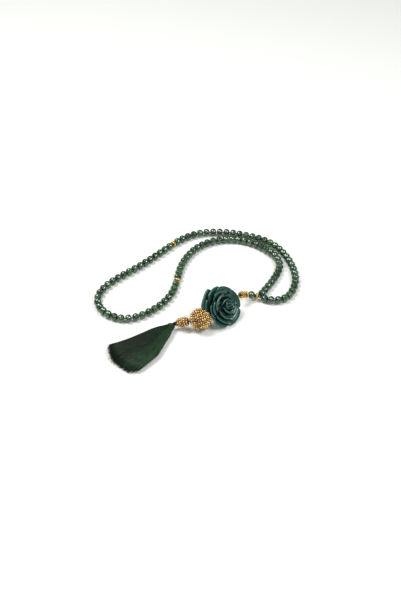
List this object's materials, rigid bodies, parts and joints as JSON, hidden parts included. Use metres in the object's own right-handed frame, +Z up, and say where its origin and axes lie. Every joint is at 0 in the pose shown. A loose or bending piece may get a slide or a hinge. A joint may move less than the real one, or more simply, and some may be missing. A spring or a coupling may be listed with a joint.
{
  "type": "prayer beads",
  "caption": "Misbaha: a loop of green beads in runs parted by gold dividers, with a tail of gold pieces, a carved rose, a granulated ball and a silk tassel.",
  "frame": {"origin": "on the surface it lies on, under the middle of its bounding box", "axes": "+Z up from the table; +X and +Y in the plane it lies in, with the tail's free end towards -X and -Y"},
  "size_m": [0.1516, 0.1572, 0.0254],
  "materials": {
    "pearl_green": "glossy pearl lustre over dark green glass",
    "gold_beadwork": "bright gold, seed-sized granules",
    "carved_teal": "carved and polished, dark teal",
    "green_silk": "fine silk threads, soft sheen",
    "nylon_cord": "twisted nylon cord"
  },
  "bodies": {
    "strip_01": {"beads_01_03": "pearl_green", "beads_97_99": "pearl_green", "stringing_cord": "nylon_cord"},
    "strip_02": {"beads_04_06": "pearl_green", "beads_94_96": "pearl_green"},
    "strip_03": {"beads_07_09": "pearl_green", "beads_91_93": "pearl_green"},
    "strip_04": {"beads_10_12": "pearl_green", "beads_88_90": "pearl_green"},
    "strip_05": {"beads_13_15": "pearl_green", "beads_85_87": "pearl_green"},
    "strip_06": {"beads_16_18": "pearl_green", "beads_82_84": "pearl_green"},
    "strip_07": {"beads_19_21": "pearl_green", "beads_79_81": "pearl_green"},
    "strip_08": {"beads_22_24": "pearl_green", "beads_76_78": "pearl_green"},
    "strip_09": {"beads_25_27": "pearl_green", "beads_73_75": "pearl_green"},
    "strip_10": {"beads_28_30": "pearl_green", "beads_70_72": "pearl_green"},
    "strip_11": {"beads_31_33": "pearl_green", "beads_67_69": "pearl_green"},
    "strip_12": {"beads_34_36": "pearl_green", "beads_64_66": "pearl_green"},
    "strip_13": {"beads_37_39": "pearl_green", "beads_61_63": "pearl_green"},
    "strip_14": {"beads_40_42": "pearl_green", "beads_58_60": "pearl_green"},
    "strip_15": {"beads_43_45": "pearl_green", "beads_55_57": "pearl_green"},
    "strip_16": {"beads_46_48": "pearl_green", "beads_52_54": "pearl_green"},
    "strip_17": {"beads_49_51": "pearl_green"},
    "divider_ring_a": {"divider_a": "gold_beadwork"},
    "divider_ring_b": {"divider_b": "gold_beadwork"},
    "tail": {"junction_spacer": "gold_beadwork", "tail_cord": "nylon_cord"},
    "tail_green_bead": {"tail_bead": "pearl_green"},
    "tail_gold_ring": {"tail_ring": "gold_beadwork"},
    "tail_gold_barrel": {"tail_barrel": "gold_beadwork"},
    "rose": {"rose_bead": "carved_teal"},
    "ball": {"granulated_ball": "gold_beadwork"},
    "neck": {"beaded_neck": "gold_beadwork"},
    "knot": {"tassel_knot": "green_silk"},
    "tassel": {"tassel_head": "green_silk", "tassel_binding": "green_silk", "tassel_skirt": "green_silk"}
  },
  "joints": [
    {"name": "fold_01", "type": "hinge", "parent": "strip_01", "child": "strip_02", "pos_m": [0.05739, 0.00196, 0.003], "axis": [0.4142, -0.9102, 0], "range_deg": [-10, 10], "deforming": ["stringing_cord"]},
    {"name": "fold_02", "type": "hinge", "parent": "strip_02", "child": "strip_03", "pos_m": [0.06526, 0.01465, 0.003], "axis": [0.5026, -0.8645, 0], "range_deg": [-10, 10], "deforming": ["stringing_cord"]},
    {"name": "fold_03", "type": "hinge", "parent": "strip_03", "child": "strip_04", "pos_m": [0.06723, 0.02964, 0.003], "axis": [0.5467, -0.8373, 0], "range_deg": [-10, 10], "deforming": ["stringing_cord"]},
    {"name": "fold_04", "type": "hinge", "parent": "strip_04", "child": "strip_05", "pos_m": [0.06223, 0.0437, 0.003], "axis": [0.737, -0.6759, 0], "range_deg": [-10, 10], "deforming": ["stringing_cord"]},
    {"name": "fold_05", "type": "hinge", "parent": "strip_05", "child": "strip_06", "pos_m": [0.05357, 0.05569, 0.003], "axis": [0.9095, -0.4158, 0], "range_deg": [-10, 10], "deforming": ["stringing_cord"]},
    {"name": "fold_06", "type": "hinge", "parent": "strip_06", "child": "strip_07", "pos_m": [0.04152, 0.06398, 0.003], "axis": [0.9946, -0.1036, 0], "range_deg": [-10, 10], "deforming": ["stringing_cord"]},
    {"name": "fold_07", "type": "hinge", "parent": "strip_07", "child": "strip_08", "pos_m": [0.02722, 0.06684, 0.003], "axis": [0.9757, 0.2191, 0], "range_deg": [-10, 10], "deforming": ["stringing_cord"]},
    {"name": "fold_08", "type": "hinge", "parent": "strip_08", "child": "strip_09", "pos_m": [0.01326, 0.06529, 0.003], "axis": [0.8061, 0.5918, 0], "range_deg": [-10, 10], "deforming": ["stringing_cord"]},
    {"name": "fold_09", "type": "hinge", "parent": "strip_09", "child": "strip_10", "pos_m": [0.00103, 0.0598, 0.003], "axis": [0.4867, 0.8736, 0], "range_deg": [-10, 10], "deforming": ["stringing_cord"]},
    {"name": "fold_10", "type": "hinge", "parent": "strip_10", "child": "strip_11", "pos_m": [-0.00914, 0.05075, 0.003], "axis": [0.1769, 0.9842, 0], "range_deg": [-10, 10], "deforming": ["stringing_cord"]},
    {"name": "fold_11", "type": "hinge", "parent": "strip_11", "child": "strip_12", "pos_m": [-0.01716, 0.03721, 0.003], "axis": [-0.0784, 0.9969, 0], "range_deg": [-10, 10], "deforming": ["stringing_cord"]},
    {"name": "fold_12", "type": "hinge", "parent": "strip_12", "child": "strip_13", "pos_m": [-0.02528, 0.02212, 0.003], "axis": [-0.2187, 0.9758, 0], "range_deg": [-10, 10], "deforming": ["stringing_cord"]},
    {"name": "fold_13", "type": "hinge", "parent": "strip_13", "child": "strip_14", "pos_m": [-0.03533, 0.00966, 0.003], "axis": [-0.2462, 0.9692, 0], "range_deg": [-10, 10], "deforming": ["stringing_cord"]},
    {"name": "fold_14", "type": "hinge", "parent": "strip_14", "child": "strip_15", "pos_m": [-0.04759, -0.00069, 0.003], "axis": [-0.235, 0.972, 0], "range_deg": [-10, 10], "deforming": ["stringing_cord"]},
    {"name": "fold_15", "type": "hinge", "parent": "strip_15", "child": "strip_16", "pos_m": [-0.06107, -0.00724, 0.003], "axis": [-0.1939, 0.981, 0], "range_deg": [-10, 10], "deforming": ["stringing_cord"]},
    {"name": "fold_16", "type": "hinge", "parent": "strip_16", "child": "strip_17", "pos_m": [-0.07107, -0.00939, 0.003], "axis": [-0.1784, 0.984, 0], "range_deg": [-10, 10], "deforming": ["stringing_cord"]},
    {"name": "divider_a_turn", "type": "hinge", "parent": "strip_11", "child": "divider_ring_a", "pos_m": [-0.01891, 0.0595, 0.003], "axis": [-0.6833, -0.7302, 0], "continuous": true},
    {"name": "divider_b_turn", "type": "hinge", "parent": "strip_11", "child": "divider_ring_b", "pos_m": [-0.01541, 0.01491, 0.003], "axis": [0.1591, 0.9873, 0], "continuous": true},
    {"name": "tail_swing", "type": "hinge", "parent": "strip_01", "child": "tail", "pos_m": [0.0444, -0.0035, 0.003], "axis": [0, 0, 1], "range_deg": [-4, 24]},
    {"name": "tail_bead_turn", "type": "hinge", "parent": "tail", "child": "tail_green_bead", "pos_m": [0.0391, -0.0037, 0.0048], "axis": [-0.8976, -0.2119, 0.3865], "continuous": true},
    {"name": "tail_ring_turn", "type": "hinge", "parent": "tail", "child": "tail_gold_ring", "pos_m": [0.0356, -0.0052, 0.0064], "axis": [-0.7844, -0.4661, 0.4092], "continuous": true},
    {"name": "tail_barrel_turn", "type": "hinge", "parent": "tail", "child": "tail_gold_barrel", "pos_m": [0.0322, -0.0078, 0.0084], "axis": [-0.7312, -0.6162, 0.2928], "continuous": true},
    {"name": "rose_roll", "type": "hinge", "parent": "tail", "child": "rose", "pos_m": [0.0163, -0.0235, 0.0099], "axis": [0.6947, 0.7193, 0], "range_deg": [-15, 25]},
    {"name": "ball_turn", "type": "hinge", "parent": "tail", "child": "ball", "pos_m": [0.0022, -0.0342, 0.00825], "axis": [-0.9659, -0.2588, 0], "continuous": true},
    {"name": "neck_turn", "type": "hinge", "parent": "tail", "child": "neck", "pos_m": [-0.01095, -0.03525, 0.00622], "axis": [-0.9433, 0.159, -0.2915], "continuous": true},
    {"name": "tassel_swing", "type": "hinge", "parent": "tail", "child": "knot", "pos_m": [-0.01575, -0.03455, 0.00458], "axis": [0, 0, 1], "range_deg": [-28, 6]},
    {"name": "tassel_lift", "type": "hinge", "parent": "knot", "child": "tassel", "pos_m": [-0.01575, -0.03455, 0.00458], "axis": [-0.7547, 0.6561, 0], "range_deg": [0, 25]}
  ]
}
